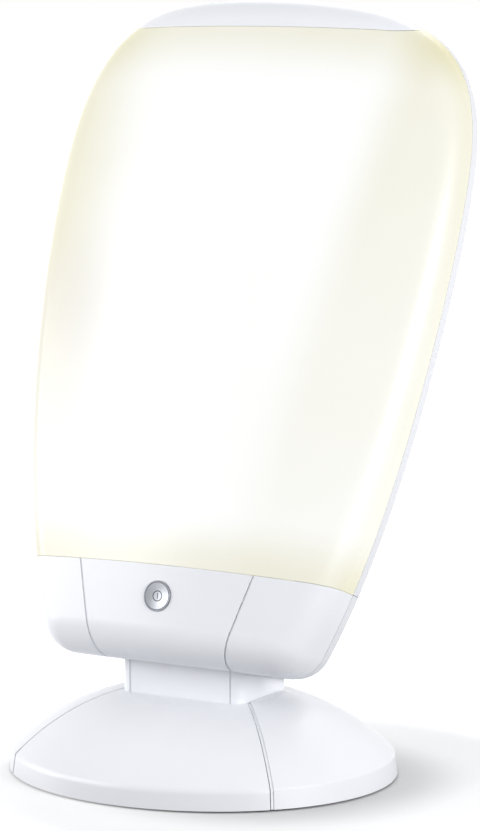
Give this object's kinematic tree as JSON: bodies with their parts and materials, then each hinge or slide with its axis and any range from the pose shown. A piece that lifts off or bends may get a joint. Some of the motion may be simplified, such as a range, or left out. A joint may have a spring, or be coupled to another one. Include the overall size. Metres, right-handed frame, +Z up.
{
  "type": "light therapy lamp",
  "caption": "Free-standing light therapy lamp: a leaf-shaped lit screen on a short tilting neck, with a round power button below it and a low domed base.",
  "frame": {"origin": "on the floor under the middle of the base's oval", "axes": "+Z up, the lamp's front towards -Y, +X to the right of someone who faces the lit screen"},
  "size_m": [0.3586, 0.3075, 0.5945],
  "materials": {
    "housing_white": "satin moulded ABS",
    "screen_opal": "opal acrylic, lit from behind",
    "button_silver": "silver lacquer, satin",
    "bezel_grey": "silver lacquer",
    "symbol_dark": "inlaid dark ink",
    "steel": "zinc plated",
    "spring_steel": "bright wire",
    "weight_steel": "black primer",
    "sheet_steel": "white powder coat",
    "reflector_aluminium": "bright anodised",
    "lamp_glass": "phosphor coated",
    "lamp_plastic": "moulded",
    "board_green": "coated circuit board",
    "black_plastic": "moulded",
    "rubber_grey": "soft moulded",
    "washer_fibre": "vulcanised fibre"
  },
  "bodies": {
    "base": {"base_front_cover": "housing_white", "base_rear_cover": "housing_white", "base_left_wing": "housing_white", "base_right_wing": "housing_white", "base_bottom_plate": "housing_white", "ballast_weight": "weight_steel", "rubber_feet": "rubber_grey", "base_screws": "steel", "weight_screws": "steel", "cord_gland": "rubber_grey", "neck_column": "housing_white", "neck_top": "housing_white", "neck_bracket": "steel", "hinge_axle": "steel", "friction_washers": "washer_fibre", "hinge_nuts": "steel"},
    "head": {"diffuser": "screen_opal", "top_cap": "housing_white", "lower_centre_panel": "housing_white", "lower_left_cover": "housing_white", "lower_right_cover": "housing_white", "rear_housing": "housing_white", "lower_rear_housing": "housing_white", "rear_screws": "steel", "head_bracket": "steel", "left_lamp_tube": "lamp_glass", "right_lamp_tube": "lamp_glass", "left_lamp_cap": "lamp_plastic", "right_lamp_cap": "lamp_plastic", "left_lampholder": "lamp_plastic", "right_lampholder": "lamp_plastic", "tube_clips": "spring_steel", "reflector": "reflector_aluminium", "spacer_posts": "reflector_aluminium", "chassis_plate": "sheet_steel", "chassis_screws": "steel", "gear_case": "sheet_steel", "gear_board": "board_green", "terminal_block": "lamp_plastic", "button_bezel": "bezel_grey", "button_spring": "spring_steel", "switch_body": "black_plastic", "switch_board": "board_green", "switch_carrier": "lamp_plastic"},
    "button": {"power_button": "button_silver", "button_symbol": "symbol_dark"}
  },
  "joints": [
    {"name": "head_tilt", "type": "hinge", "parent": "base", "child": "head", "pos_m": [0, 0.003, 0.1], "axis": [1, 0, 0], "range_deg": [-5, 12]},
    {"name": "button_press", "type": "slide", "parent": "head", "child": "button", "axis": [0, 0.972, -0.2348], "range_m": [0, 0.002], "stiffness_N_per_m": 1000, "springref_m": -0.002, "deforming": ["button_spring"]}
  ]
}
